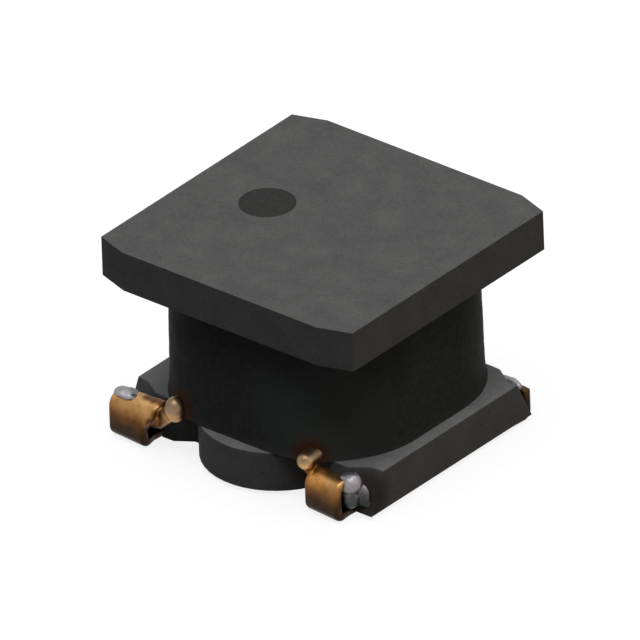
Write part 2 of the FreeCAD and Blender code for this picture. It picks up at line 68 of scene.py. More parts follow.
def make_camera():
    """An orthographic camera whose picture holds the top face's centre where the photograph does."""
    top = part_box("drum_core")[1][2] / MM
    back = Vector((math.sin(AZIMUTH) * math.cos(ELEVATION),
                   -math.cos(AZIMUTH) * math.cos(ELEVATION), math.sin(ELEVATION)))
    level_right = Vector((math.cos(AZIMUTH), math.sin(AZIMUTH), 0))
    level_up = back.cross(level_right)
    right = level_right * math.cos(ROLL) - level_up * math.sin(ROLL)
    up = level_up * math.cos(ROLL) + level_right * math.sin(ROLL)
    place = (Vector((0, 0, top)) - right * TOP_CENTRE_RIGHT - up * TOP_CENTRE_UP
             + back * CAMERA_DISTANCE) * MM
    data = bpy.data.cameras.new("camera")
    data.type = "ORTHO"
    data.ortho_scale = FRAME_PIXELS / PIXELS_PER_MM * MM
    data.clip_start = NEAREST_SEEN * MM
    data.clip_end = FURTHEST_SEEN * MM
    camera = bpy.data.objects.new("camera", data)
    bpy.context.scene.collection.objects.link(camera)
    turn = Matrix((right, up, back)).transposed().to_4x4()
    camera.matrix_world = Matrix.Translation(place) @ turn
    bpy.context.scene.camera = camera


# Finishes
WHITE = (1.0, 1.0, 1.0)
MIX_SHARE, MIX_FIRST, MIX_SECOND, MIX_RESULT = 0, 6, 7, 2    # the colour sockets of a Mix node
NOISE_ROUGHNESS = 0.55
EASED_CORE = 0.35    # share of a stain's reach that is stained in full


class Finish:
    """A node material: a surface shader and short calls for the nodes that feed it."""

    def __init__(self, name, metallic=0.0, specular=0.5):
        self.material = bpy.data.materials.new(name)
        self.material.use_nodes = True
        self.tree = self.material.node_tree
        self.shader = self.tree.nodes["Principled BSDF"]
        self.shader.inputs["Metallic"].default_value = metallic
        self.shader.inputs["Specular IOR Level"].default_value = specular
        self.place = self.tree.nodes.new("ShaderNodeTexCoord").outputs["Object"]

    def link(self, source, target):
        """Feeds one socket from another."""
        self.tree.links.new(source, target)

    def at_scale(self, size_mm, stretch=(1, 1, 1)):
        """The place on the part, counted in steps of size_mm."""
        mapping = self.tree.nodes.new("ShaderNodeMapping")
        mapping.inputs["Scale"].default_value = [1 / (size_mm * MM) * way for way in stretch]
        self.link(self.place, mapping.inputs["Vector"])
        return mapping.outputs["Vector"]

    def noise(self, size_mm, detail=4.0, stretch=(1, 1, 1)):
        """Noise whose blotches are about size_mm across."""
        texture = self.tree.nodes.new("ShaderNodeTexNoise")
        texture.inputs["Scale"].default_value = 1.0
        texture.inputs["Detail"].default_value = detail
        texture.inputs["Roughness"].default_value = NOISE_ROUGHNESS
        self.link(self.at_scale(size_mm, stretch), texture.inputs["Vector"])
        return texture.outputs["Fac"]

    def grains(self, size_mm):
        """The distance to scattered grains about size_mm apart."""
        texture = self.tree.nodes.new("ShaderNodeTexVoronoi")
        texture.inputs["Scale"].default_value = 1.0
        self.link(self.at_scale(size_mm), texture.inputs["Vector"])
        return texture.outputs["Distance"]

    def ramp(self, source, stops):
        """Colours along a value: stops are (place, colour) pairs."""
        node = self.tree.nodes.new("ShaderNodeValToRGB")
        elements = node.color_ramp.elements
        while len(elements) < len(stops):
            elements.new(0.5)
        for element, (place, colour) in zip(elements, stops):
            element.position = place
            element.color = (*colour, 1.0)
        self.link(source, node.inputs["Fac"])
        return node.outputs["Color"]

    def mixed(self, share, first, second, kind="MIX"):
        """Two colours, each given as a colour or a socket, mixed by a share or a socket."""
        node = self.tree.nodes.new("ShaderNodeMix")
        node.data_type = "RGBA"
        node.blend_type = kind
        for socket, value in ((MIX_SHARE, share), (MIX_FIRST, first), (MIX_SECOND, second)):
            if isinstance(value, bpy.types.NodeSocket):
                self.link(value, node.inputs[socket])
            elif isinstance(value, tuple):
                node.inputs[socket].default_value = (*value, 1.0)
            else:
                node.inputs[socket].default_value = value
        return node.outputs[MIX_RESULT]

    def multiplied(self, colour, *others):
        """A colour multiplied by others in turn."""
        for other in others:
            colour = self.mixed(1.0, colour, other, "MULTIPLY")
        return colour

    def maths(self, kind, first, second):
        """Two values added or multiplied."""
        node = self.tree.nodes.new("ShaderNodeMath")
        node.operation = kind
        self.link(first, node.inputs[0])
        self.link(second, node.inputs[1])
        return node.outputs[0]

    def scaled(self, source, low, high):
        """A value from 0 to 1 brought between two others."""
        node = self.tree.nodes.new("ShaderNodeMapRange")
        node.inputs["To Min"].default_value = low
        node.inputs["To Max"].default_value = high
        self.link(source, node.inputs["Value"])
        return node.outputs["Result"]

    def span(self, axis, low_mm, high_mm, waver=0.0, waver_size_mm=0.3):
        """0 at one place along an axis and 1 at another, with an uneven border if asked."""
        split = self.tree.nodes.new("ShaderNodeSeparateXYZ")
        self.link(self.place, split.inputs["Vector"])
        share = self.tree.nodes.new("ShaderNodeMapRange")
        share.inputs["From Min"].default_value = low_mm * MM
        share.inputs["From Max"].default_value = high_mm * MM
        self.link(split.outputs[axis], share.inputs["Value"])
        if not waver:
            return share.outputs["Result"]
        border = self.scaled(self.noise(waver_size_mm, detail=3.0), -waver, waver)
        return self.maths("ADD", share.outputs["Result"], border)

    def away_from(self, spots, reach_mm):
        """0 at any of some spots, rising to 1 where all are further than the reach."""
        share = None
        for spot in spots:
            gap = self.tree.nodes.new("ShaderNodeVectorMath")
            gap.operation = "DISTANCE"
            gap.inputs[1].default_value = [way * MM for way in spot]
            self.link(self.place, gap.inputs[0])
            ease = self.tree.nodes.new("ShaderNodeMapRange")
            ease.interpolation_type = "SMOOTHSTEP"
            ease.inputs["From Min"].default_value = reach_mm * MM * EASED_CORE
            ease.inputs["From Max"].default_value = reach_mm * MM
            self.link(gap.outputs["Value"], ease.inputs["Value"])
            clear = ease.outputs["Result"]
            share = clear if share is None else self.maths("MULTIPLY", share, clear)
        return share

    def colour(self, source):
        """Gives the surface its colour."""
        self.link(source, self.shader.inputs["Base Color"])

    def roughness(self, source):
        """Gives the surface its roughness."""
        self.link(source, self.shader.inputs["Roughness"])

    def bump(self, source, height_mm, strength=1.0, below=None):
        """Raises the surface by height_mm where the value is 1, on top of another relief if given."""
        node = self.tree.nodes.new("ShaderNodeBump")
        node.inputs["Strength"].default_value = strength
        node.inputs["Distance"].default_value = height_mm * MM
        self.link(source, node.inputs["Height"])
        if below is not None:
            self.link(below, node.inputs["Normal"])
        self.link(node.outputs["Normal"], self.shader.inputs["Normal"])
        return node.outputs["Normal"]


# By share of a height: painted light on the lower flange, standing in for the light the top flange shades
# off it, strongest on its upper face
FOOT_PAINTED_LIGHT_REACH = 2.0
FOOT_PAINTED_LIGHT = (
    (0.000, (1.22, 1.22, 1.23)),
    (0.435, (1.22, 1.22, 1.23)),
    (0.442, (2.30, 2.30, 2.32)),
    (0.456, (2.30, 2.30, 2.32)),
    (0.500, (1.00, 1.00, 1.00)),
)
PIT_SPACING = 0.16

# Where the front of the right ear is darker
RIGHT_EAR_DARKER = (2.72, -2.25, 0.45)
RIGHT_EAR_DARKER_REACH = 0.65


def ferrite_finish():
    """Sintered ferrite: matt grey, faintly cloudy, with pressing grain, small pits, a foot painted lighter
    in place of the light the top flange shades off it, and a darker front on the right ear.
    """
    finish = Finish("sintered_ferrite", specular=0.05)
    cloud = finish.ramp(finish.noise(0.60, detail=5.0),
                        ((0.32, (0.074, 0.074, 0.074)), (0.68, (0.092, 0.092, 0.091))))
    grain = finish.ramp(finish.noise(0.045, detail=2.0),
                        ((0.30, (0.88, 0.88, 0.88)), (0.70, (1.10, 1.10, 1.10))))
    pits = finish.ramp(finish.grains(PIT_SPACING), ((0.10, (0.80, 0.80, 0.80)), (0.22, WHITE)))
    # painted light on the lower flange, in place of the light the top flange shades off it
    foot_painted_light = finish.ramp(finish.span("Z", 0.0, FOOT_PAINTED_LIGHT_REACH), FOOT_PAINTED_LIGHT)
    right_ear_darker = finish.mixed(finish.away_from((RIGHT_EAR_DARKER,), RIGHT_EAR_DARKER_REACH), (0.42, 0.36, 0.33), WHITE)
    finish.colour(finish.multiplied(cloud, grain, pits, foot_painted_light, right_ear_darker))
    finish.roughness(finish.scaled(finish.noise(0.3), 0.66, 0.86))
    coarse = finish.bump(finish.noise(0.06, detail=3.0), 0.004, 0.4)
    finish.bump(finish.grains(PIT_SPACING), 0.008, 0.2, below=coarse)
    return finish.material


# Where the two leads leave the resin, and where its near corner is painted lighter, as painted light in
# place of what the flange shades off it
LEAD_MOUTHS = ((-1.45, -2.55, 1.05), (1.63, -2.50, 1.02))
MOUTH_REACH = 0.52
CORNER_PAINTED_LIGHT = (1.7, -2.2, 1.9)
CORNER_PAINTED_LIGHT_REACH = 1.7


def resin_finish():
    """Magnetic resin: near black, slightly rough from its powder, browned by flux round the leads."""
    finish = Finish("magnetic_resin", specular=0.03)
    black = finish.ramp(finish.noise(0.12, detail=5.0),
                        ((0.35, (0.027, 0.028, 0.028)), (0.70, (0.038, 0.040, 0.039))))
    # painted light on the near corner, in place of the light the flange shades off it
    corner_painted_light = finish.mixed(finish.away_from((CORNER_PAINTED_LIGHT,), CORNER_PAINTED_LIGHT_REACH), (0.052, 0.060, 0.057), black)
    browned = finish.mixed(finish.away_from(LEAD_MOUTHS, MOUTH_REACH), (0.062, 0.027, 0.013), corner_painted_light)
    finish.colour(browned)
    finish.roughness(finish.scaled(finish.noise(0.4), 0.60, 0.80))
    finish.bump(finish.noise(0.05, detail=4.0), 0.006, 0.4)
    return finish.material


# By share of a height: copper darker towards the board, with a painted highlight where its bends face up,
# and duller on the leads
COPPER_TONES_AND_HIGHLIGHT_REACH = 1.2
COPPER_TONES_AND_HIGHLIGHT = (
    (0.12, (0.028, 0.014, 0.007)),
    (0.30, (0.048, 0.023, 0.009)),
    (0.43, (0.125, 0.054, 0.016)),
    (0.56, (0.270, 0.130, 0.042)),
    (0.68, (0.440, 0.245, 0.095)),
    (0.80, (0.440, 0.270, 0.125)),
    (0.87, (0.270, 0.190, 0.115)),
    (1.00, (0.220, 0.155, 0.095)),
)

# Painted shade in the crease of each terminal, and an oxide stain on the folded top of the left one
CREASE_SHADE_AND_OXIDE = ((-1.80, -2.66, 0.95), (-1.88, -2.70, 0.77), (-1.97, -2.76, 0.60), (-1.68, -2.66, 0.96),
           (-1.90, -2.50, 0.93), (-2.08, -2.49, 0.91), (-2.26, -2.47, 0.90),
           (1.60, -2.84, 0.84), (1.68, -2.74, 0.80), (1.70, -2.60, 0.84), (1.86, -2.60, 0.93))
CREASE_SHADE_AND_OXIDE_REACH = 0.16

# A painted highlight where the right wire end is pressed over
RIGHT_END_PAINTED_HIGHLIGHT = (1.92, -2.80, 0.82)
RIGHT_END_HIGHLIGHT_REACH = 0.42

# How far back the copper begins to dull, and where it is dullest
DULL_BACK = (1.4, 2.2)


def copper_finish():
    """Enamelled copper: orange metal under a thin amber film, with draw marks, painted shade in its
    creases, an oxide stain on the left fold and painted highlights on its bends and the right end.
    """
    finish = Finish("enamelled_copper", metallic=1.0)
    # painted highlight where the bends face up, and darker towards the board
    metal_and_highlight = finish.ramp(finish.span("Z", 0.0, COPPER_TONES_AND_HIGHLIGHT_REACH, waver=0.10, waver_size_mm=0.45),
                        COPPER_TONES_AND_HIGHLIGHT)
    stain = finish.ramp(finish.noise(0.16, detail=3.0), ((0.30, (0.74, 0.68, 0.62)), (0.60, WHITE)))
    # painted shade in the creases, and oxide on the left fold
    crease_shade_and_oxide = finish.mixed(finish.away_from(CREASE_SHADE_AND_OXIDE, CREASE_SHADE_AND_OXIDE_REACH), (0.26, 0.19, 0.13), WHITE)
    # painted highlight on the right wire end
    right_end_highlight = finish.mixed(finish.away_from((RIGHT_END_PAINTED_HIGHLIGHT,), RIGHT_END_HIGHLIGHT_REACH), (1.50, 1.42, 1.20), WHITE)
    dull_back = finish.mixed(finish.span("Y", *DULL_BACK), WHITE, (0.30, 0.28, 0.24))
    finish.colour(finish.multiplied(metal_and_highlight, stain, crease_shade_and_oxide, right_end_highlight, dull_back))
    finish.roughness(finish.scaled(finish.noise(0.12), 0.28, 0.48))
    finish.bump(finish.noise(0.06, detail=3.0, stretch=(1, 1, 0.3)), 0.003, 0.5)
    return finish.material


# By height between two levels: solder darker at the board and lighter on top
SOLDER_TONES_LEVELS = (0.2, 1.0)
SOLDER_TONES = (
    (0.12, (0.045, 0.050, 0.048)),
    (0.38, (0.090, 0.090, 0.088)),
    (0.60, (0.275, 0.260, 0.265)),
    (0.90, (0.330, 0.325, 0.335)),
)


def solder_finish():
    """Tin solder: silver grey, frosted, with a crystalline skin and duller low down."""
    finish = Finish("tin_solder", metallic=1.0)
    skin = finish.ramp(finish.noise(0.18, detail=4.0),
                       ((0.30, (0.62, 0.60, 0.62)), (0.70, (0.98, 0.95, 0.99))))
    dull = finish.ramp(finish.span("Z", *SOLDER_TONES_LEVELS, waver=0.12), SOLDER_TONES)
    finish.colour(finish.multiplied(skin, dull))
    finish.roughness(finish.scaled(finish.grains(0.07), 0.34, 0.56))
    finish.bump(finish.grains(0.09), 0.008, 0.5)
    return finish.material


def land_finish():
    """Metallised land: matt tinned silver paste."""
    finish = Finish("metallised_land", metallic=1.0)
    finish.colour(finish.ramp(finish.noise(0.10, detail=3.0),
                              ((0.30, (0.22, 0.21, 0.20)), (0.70, (0.40, 0.39, 0.38)))))
    finish.roughness(finish.scaled(finish.noise(0.08), 0.36, 0.60))
    finish.bump(finish.noise(0.04), 0.004, 0.5)
    return finish.material


def ink_finish():
    """Marking ink: a thin dark matt coat that shows the ferrite's grain."""
    finish = Finish("marking_ink", specular=0.05)
    finish.colour(finish.ramp(finish.noise(0.09, detail=4.0),
                              ((0.30, (0.025, 0.025, 0.025)), (0.70, (0.034, 0.034, 0.033)))))
    finish.roughness(finish.scaled(finish.noise(0.2), 0.70, 0.90))
    finish.bump(finish.noise(0.05, detail=3.0), 0.003, 0.5)
    return finish.material


FINISHES = {
    "ferrite": ferrite_finish(),
    "resin": resin_finish(),
    "copper": copper_finish(),
    "solder": solder_finish(),
    "metallising": land_finish(),
    "ink": ink_finish(),
}


# Sizes that the CAD model also has
CORE_TOP = 4.25
FLANGE_UNDERSIDE = 3.43
FOOT_TOP = 0.896
POST_RADIUS = 1.3
WIRE = 0.42
COIL_ROWS = 6
STRAP_WIDTH = 0.76
STRAP_THICK = 0.19
STRAP_CENTRE = 2.29
STRAP_SLANT = math.radians(4.9)
FRONT_LEG = 2.81 - STRAP_THICK / 2
BACK_LEG = 2.22 + STRAP_THICK / 2
BACK_TOP = 0.62
ELBOW_X = {"left": -1.47, "right": 1.65}
ELBOW_REACH = 2.64
ELBOW_HEIGHT = 1.05
RESIN_HALF = 2.68
RESIN_FLARE = 0.03
RESIN_CORNER = 2.0
DOT_RADIUS = 0.54
DOT_X = -1.31
DOT_THICK = 0.015
SIDES = {"left": -1, "right": 1}


def new_piece(name, shape, finish, node):
    """Makes a piece of a shape in millimetres, with one finish, in place of a CAD node."""
    bmesh.ops.recalc_face_normals(shape, faces=shape.faces)
    mesh = bpy.data.meshes.new(name)
    shape.to_mesh(mesh)
    shape.free()
    mesh.transform(Matrix.Scale(MM, 4))
    mesh.materials.append(FINISHES[finish])
    piece = bpy.data.objects.new(name, mesh)
    bpy.context.scene.collection.objects.link(piece)
    shade(piece, smooth=True)
    settle(piece, node)
    return piece


def shade(piece, smooth):
    """Shades all faces of a piece smooth or flat."""
    for face in piece.data.polygons:
        face.use_smooth = smooth


def settle(piece, node):
    """Sets a piece on the part, in place of a CAD node."""
    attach(piece, "root")
    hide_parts(node)


def bake(piece):
    """Works a piece's modifiers into its mesh."""
    graph = bpy.context.evaluated_depsgraph_get()
    mesh = bpy.data.meshes.new_from_object(piece.evaluated_get(graph))
    piece.modifiers.clear()
    piece.data = mesh


EVENING = 0.5    # strength of each smoothing pass


def melt(piece, voxel_mm, smoothing):
    """Melts a piece's overlapping solids into one skin and evens it out."""
    skin = piece.modifiers.new("skin", "REMESH")
    skin.mode = "VOXEL"
    skin.voxel_size = voxel_mm * MM
    skin.use_smooth_shade = True
    even = piece.modifiers.new("even", "SMOOTH")
    even.factor = EVENING
    even.iterations = smoothing
    bake(piece)
    shade(piece, smooth=True)


def skin_between(shape, lower, upper):
    """Faces between two closed rings of equal length."""
    for i in range(len(lower)):
        j = (i + 1) % len(lower)
        shape.faces.new((lower[i], lower[j], upper[j], upper[i]))


def loft(shape, rings):
    """Skins closed rings of equal length and closes both ends."""
    rows = [[shape.verts.new(spot) for spot in ring] for ring in rings]
    for lower, upper in zip(rows, rows[1:]):
        skin_between(shape, lower, upper)
    shape.faces.new(rows[0][::-1])
    shape.faces.new(rows[-1])


SECTION_STEPS = 12    # points along half a section


def section(place, wide_way, thick_way, width, thick, round_edge=None):
    """Points round a bar with rounded corners, or round a plain wire where width and thickness agree."""
    if round_edge is None:
        round_edge = min(width, thick) / 2
    reach = width / 2 - round_edge
    rise = thick / 2 - round_edge
    ring = []
    for i in range(2 * SECTION_STEPS):
        angle = math.pi * (i + 0.5) / SECTION_STEPS
        across = math.copysign(reach, math.cos(angle)) + math.cos(angle) * round_edge
        over = math.copysign(rise, math.sin(angle)) + math.sin(angle) * round_edge
        ring.append(place + wide_way * across + thick_way * over)
    return ring


# Ferrite core
WELD_GAP = 0.0005
FLAT = math.radians(0.8)
SHARP = math.radians(25)
BROKEN_EDGE = 0.035
BROKEN_STEPS = 3
CRISP_MARGIN = 0.1    # edges this near the dot's recess and the post stay crisp


def make_core():
    """The ferrite core: a merged copy of the CAD solid whose edges are slightly broken by tumbling."""
    shape = bmesh.new()
    shape.from_mesh(NODES["drum_core"].data)
    bmesh.ops.scale(shape, vec=(1 / MM,) * 3, verts=shape.verts)
    bmesh.ops.remove_doubles(shape, verts=shape.verts, dist=WELD_GAP)
    bmesh.ops.dissolve_limit(shape, angle_limit=FLAT, verts=shape.verts, edges=shape.edges)
    weights = shape.edges.layers.float.new("bevel_weight_edge")
    for edge in shape.edges:
        middle = (edge.verts[0].co + edge.verts[1].co) / 2
        on_dot = (middle.z > CORE_TOP - CRISP_MARGIN
                  and math.hypot(middle.x - DOT_X, middle.y) < DOT_RADIUS + CRISP_MARGIN)
        on_post = math.hypot(middle.x, middle.y) < POST_RADIUS + CRISP_MARGIN
        sharp = len(edge.link_faces) == 2 and edge.calc_face_angle() > SHARP
        broken = sharp and not on_dot and not on_post
        edge[weights] = 1.0 if broken else 0.0
        edge.smooth = broken or not sharp
    core = new_piece("ferrite_core", shape, "ferrite", "drum_core")
    if "custom_normal" in core.data.attributes:
        core.data.attributes.remove(core.data.attributes["custom_normal"])
    bevel = core.modifiers.new("broken_edges", "BEVEL")
    bevel.width = BROKEN_EDGE * MM
    bevel.segments = BROKEN_STEPS
    bevel.limit_method = "WEIGHT"
    bevel.harden_normals = True
    bake(core)


# Resin: its rows lie closer together near the flanges
RESIN_STEPS = 360
RESIN_ROWS = 44
RESIN_WAVES = ((0.010, 1.1), (0.004, 6.0))    # depth of each unevenness and how closely it repeats
MENISCUS = 0.035
MENISCUS_REACH = 0.10
COLLAR = 0.05
COLLAR_REACH = 0.16
COLLAR_LIFT = 0.02
COIL_GAP = 0.01
COIL_OUTSIDE = POST_RADIUS + 2 * WIRE + COIL_GAP


def rounded_square(half, corner, height, steps):
    """Points evenly round a square with round corners, counter-clockwise."""
    flat = half - corner
    straight = 2 * flat
    bend = math.pi / 2 * corner
    around = 4 * (straight + bend)
    points = []
    for i in range(steps):
        run = around * i / steps
        quarter, rest = divmod(run, straight + bend)
        if rest < straight:
            x, y = half, rest - flat
        else:
            angle = (rest - straight) / corner
            x, y = flat + corner * math.cos(angle), flat + corner * math.sin(angle)
        turn = quarter * math.pi / 2
        points.append(Vector((x * math.cos(turn) - y * math.sin(turn),
                              x * math.sin(turn) + y * math.cos(turn), height)))
    return points


def outwards(spot):
    """The level way from the part's axis through a spot."""
    return Vector((spot.x, spot.y, 0)).normalized()


def collar(spot, height):
    """How far the resin is drawn out round the two leads at a spot of the given height."""
    if spot.y >= 0:
        return 0.0
    drawn = 0.0
    for elbow_x in ELBOW_X.values():
        gap = math.hypot(spot.x - elbow_x, height - ELBOW_HEIGHT - COLLAR_LIFT)
        drawn += COLLAR * math.exp(-max(gap - WIRE / 2, 0) / COLLAR_REACH)
    return drawn


def make_resin():
    """The resin: a shell round the coil, drawn up a little along the flanges and round each lead."""
    shape = bmesh.new()
    outer = []
    inner = []
    for row in range(RESIN_ROWS + 1):
        share = row / RESIN_ROWS
        height = FOOT_TOP + (FLANGE_UNDERSIDE - FOOT_TOP) * (0.5 - 0.5 * math.cos(math.pi * share))
        half = RESIN_HALF - RESIN_FLARE * (height - FOOT_TOP) / (FLANGE_UNDERSIDE - FOOT_TOP)
        edge = min(height - FOOT_TOP, FLANGE_UNDERSIDE - height)
        draw = MENISCUS * math.exp(-edge / MENISCUS_REACH) - MENISCUS
        ring = []
        for spot in rounded_square(half, RESIN_CORNER, height, RESIN_STEPS):
            uneven = sum(depth * noise.noise(spot * pace) for depth, pace in RESIN_WAVES)
            ring.append(spot + outwards(spot) * (draw + uneven + collar(spot, height)))
        outer.append([shape.verts.new(spot) for spot in ring])
        inner.append([shape.verts.new(outwards(spot) * COIL_OUTSIDE + UP * height) for spot in ring])
    rings = outer + inner[::-1]
    for lower, upper in zip(rings, rings[1:] + rings[:1]):
        skin_between(shape, lower, upper)
    new_piece("resin_body", shape, "resin", "resin_shield")


# Terminals: the flattened wire ends
LOWER_BEND = 0.10
FULL_WIDTH_BY = 3 * LOWER_BEND    # how far behind the front leg the strap has its full width
FOLD = 0.20
LIP = 0.08
BEND_STEPS = 8
EDGE_ROUND = 0.055
FLARE_DEPTH = 0.16
FLARE_RISE = 0.15
FLARE_SET_BACK = 0.25
FLARE_MARGIN = 0.1
FLARE_LOSS = 0.4    # share of the flare that is gone where the fold ends

# Where a lead starts in the resin: along its elbow's x, and above the foot in wire diameters
ROOT_ALONG = 0.95
ROOT_LIFT = 0.55

# The flattened stretch: how it starts in the turn, in wire diameters, its neck and its end in the leg
TURN_DROP = 0.06
TURN_WIDTH = 0.8
TURN_THICK = 0.6
NECK_LIFT = 0.08
NECK_WIDTH = 0.92    # share of the stretch's own height
NECK_THICK = 0.16
END_THICK = 0.15
END_INSET = 0.20

COPPER_VOXEL = 0.018
COPPER_SMOOTHING = 6

# Per terminal: the front leg's top, width and shift outwards; the flattened stretch from the turn of
# the wire: its middle height, its own height and how far it lies behind the leg; how far the leg's
# folded top flares out towards the turn; how much lower the turn is; the lead's thickness outside the
# resin; and half the turn's height
TERMINALS = {
    "left": {"top": 0.90, "leg": 0.87, "shift": 0.045, "band_middle": 0.56, "band": 0.46,
             "behind": 0.13, "flare": 0.27, "drop": 0.03, "wire": 0.41, "turn": 0.26},
    "right": {"top": 0.84, "leg": 0.83, "shift": 0.035, "band_middle": 0.60, "band": 0.30,
              "behind": 0.10, "flare": 0.00, "drop": 0.05, "wire": 0.36, "turn": 0.18},
}


def strap_frame(name):
    """The directions along and across one strap, and the point under the middle of its ear."""
    along = Vector((math.sin(STRAP_SLANT), math.cos(STRAP_SLANT), 0))
    across = Vector((math.cos(STRAP_SLANT), -math.sin(STRAP_SLANT), 0))
    return along, across, Vector((SIDES[name] * STRAP_CENTRE, 0, 0))


def hook_route(top, leg_width, flare):
    """Stations of the flattened wire end in its own plane: run, height, the way out, width and flare."""
    low = STRAP_THICK / 2
    high = top - STRAP_THICK / 2
    route = [(-FRONT_LEG + FOLD + LIP, high, 90, leg_width, flare)]

    def bend(x, z, radius, start, end, width, spread=0.0):
        for step in range(BEND_STEPS + 1):
            share = step / BEND_STEPS
            angle = start + (end - start) * share
            radians = math.radians(angle)
            route.append((x + radius * math.cos(radians), z + radius * math.sin(radians), angle, width,
                          spread * (1 - FLARE_LOSS * share)))

    bend(-FRONT_LEG + FOLD, high - FOLD, FOLD, 90, 180, leg_width, flare)
    route.append((-FRONT_LEG, high - FOLD - FLARE_DEPTH, 180, leg_width, 0.0))
    bend(-FRONT_LEG + LOWER_BEND, low + LOWER_BEND, LOWER_BEND, 180, 270, leg_width)
    route.append((-FRONT_LEG + FULL_WIDTH_BY, low, 270, STRAP_WIDTH, 0.0))
    bend(BACK_LEG - LOWER_BEND, low + LOWER_BEND, LOWER_BEND, 270, 360, STRAP_WIDTH)
    route.append((BACK_LEG, BACK_TOP, 360, STRAP_WIDTH, 0.0))
    return route


def add_hook(shape, form, along, across, middle, inner_side):
    """The strap: folded over its ear, down the front, under the ear and up the back."""
    rings = []
    for run, height, angle, width, flare in hook_route(form["top"], form["leg"], form["flare"]):
        out = along * math.cos(math.radians(angle)) + UP * math.sin(math.radians(angle))
        centre = middle + along * run + UP * height
        plain = section(centre + inner_side * (flare / 2), across, out, width + flare,
                        STRAP_THICK, EDGE_ROUND)
        ring = []
        for spot in plain:
            beyond = 0.0
            if flare:
                beyond = max(0.0, (spot - centre).dot(inner_side) - width / 2 + FLARE_MARGIN)
            ring.append(spot + (UP * FLARE_RISE + along * FLARE_SET_BACK) * beyond)
        rings.append(ring)
    loft(shape, rings)


def add_lead(shape, name, along, meet, outward):
    """The round wire from the coil's outer layer, its turn, and the flattened stretch to the leg."""
    form = TERMINALS[name]
    elbow = Vector((ELBOW_X[name], -ELBOW_REACH, ELBOW_HEIGHT - form["drop"]))
    root_reach = POST_RADIUS + 1.5 * WIRE
    root = Vector((ELBOW_X[name] * ROOT_ALONG, 0, FOOT_TOP + WIRE * ROOT_LIFT))
    root.y = -math.sqrt(root_reach ** 2 - root.x ** 2)
    out = (elbow - root).normalized()
    side = out.cross(UP).normalized()
    rise = side.cross(out)
    wire = form["wire"]
    loft(shape, [section(root, side, rise, wire, wire), section(elbow, side, rise, wire, wire)])
    level = UP.cross((meet - elbow).normalized()).normalized()
    neck = elbow.lerp(meet, 0.5) + along * (form["behind"] / 2)
    neck.z = form["band_middle"] + NECK_LIFT
    loft(shape, [section(elbow - UP * TURN_DROP, UP, level, wire * TURN_WIDTH, wire * TURN_THICK),
                 section(neck, UP, level, form["band"] * NECK_WIDTH, NECK_THICK),
                 section(meet, UP, along * outward, form["band"], END_THICK)])
    turn = bmesh.ops.create_icosphere(shape, subdivisions=3, radius=1.0)["verts"]
    size = Matrix.Diagonal((wire / 2, wire / 2, form["turn"], 1))
    bmesh.ops.transform(shape, matrix=Matrix.Translation(elbow) @ size, verts=turn)


def make_terminal(name):
    """One wire end: round out of the resin, turned, flattened, folded over and hooked round its ear."""
    form = TERMINALS[name]
    along, across, middle = strap_frame(name)
    middle = middle + across * (SIDES[name] * form["shift"])
    leg = middle - along * FRONT_LEG
    outward = 1 if leg.x > ELBOW_X[name] else -1
    inner_side = across * -outward
    meet = leg + inner_side * (form["leg"] / 2 - END_INSET) + along * form["behind"]
    meet.z = form["band_middle"]
    shape = bmesh.new()
    add_hook(shape, form, along, across, middle, inner_side)
    add_lead(shape, name, along, meet, outward)
    terminal = new_piece(f"terminal_{name}", shape, "copper", "winding")
    melt(terminal, COPPER_VOXEL, COPPER_SMOOTHING)


# Coil
LAYERS = 2
STEPS_A_TURN = 48
STEPS_ROUND_WIRE = 20
WOUND_SHARE = 0.995    # the wire is this much thinner than its pitch, so that turns don't touch
COIL_LIFT = 0.007


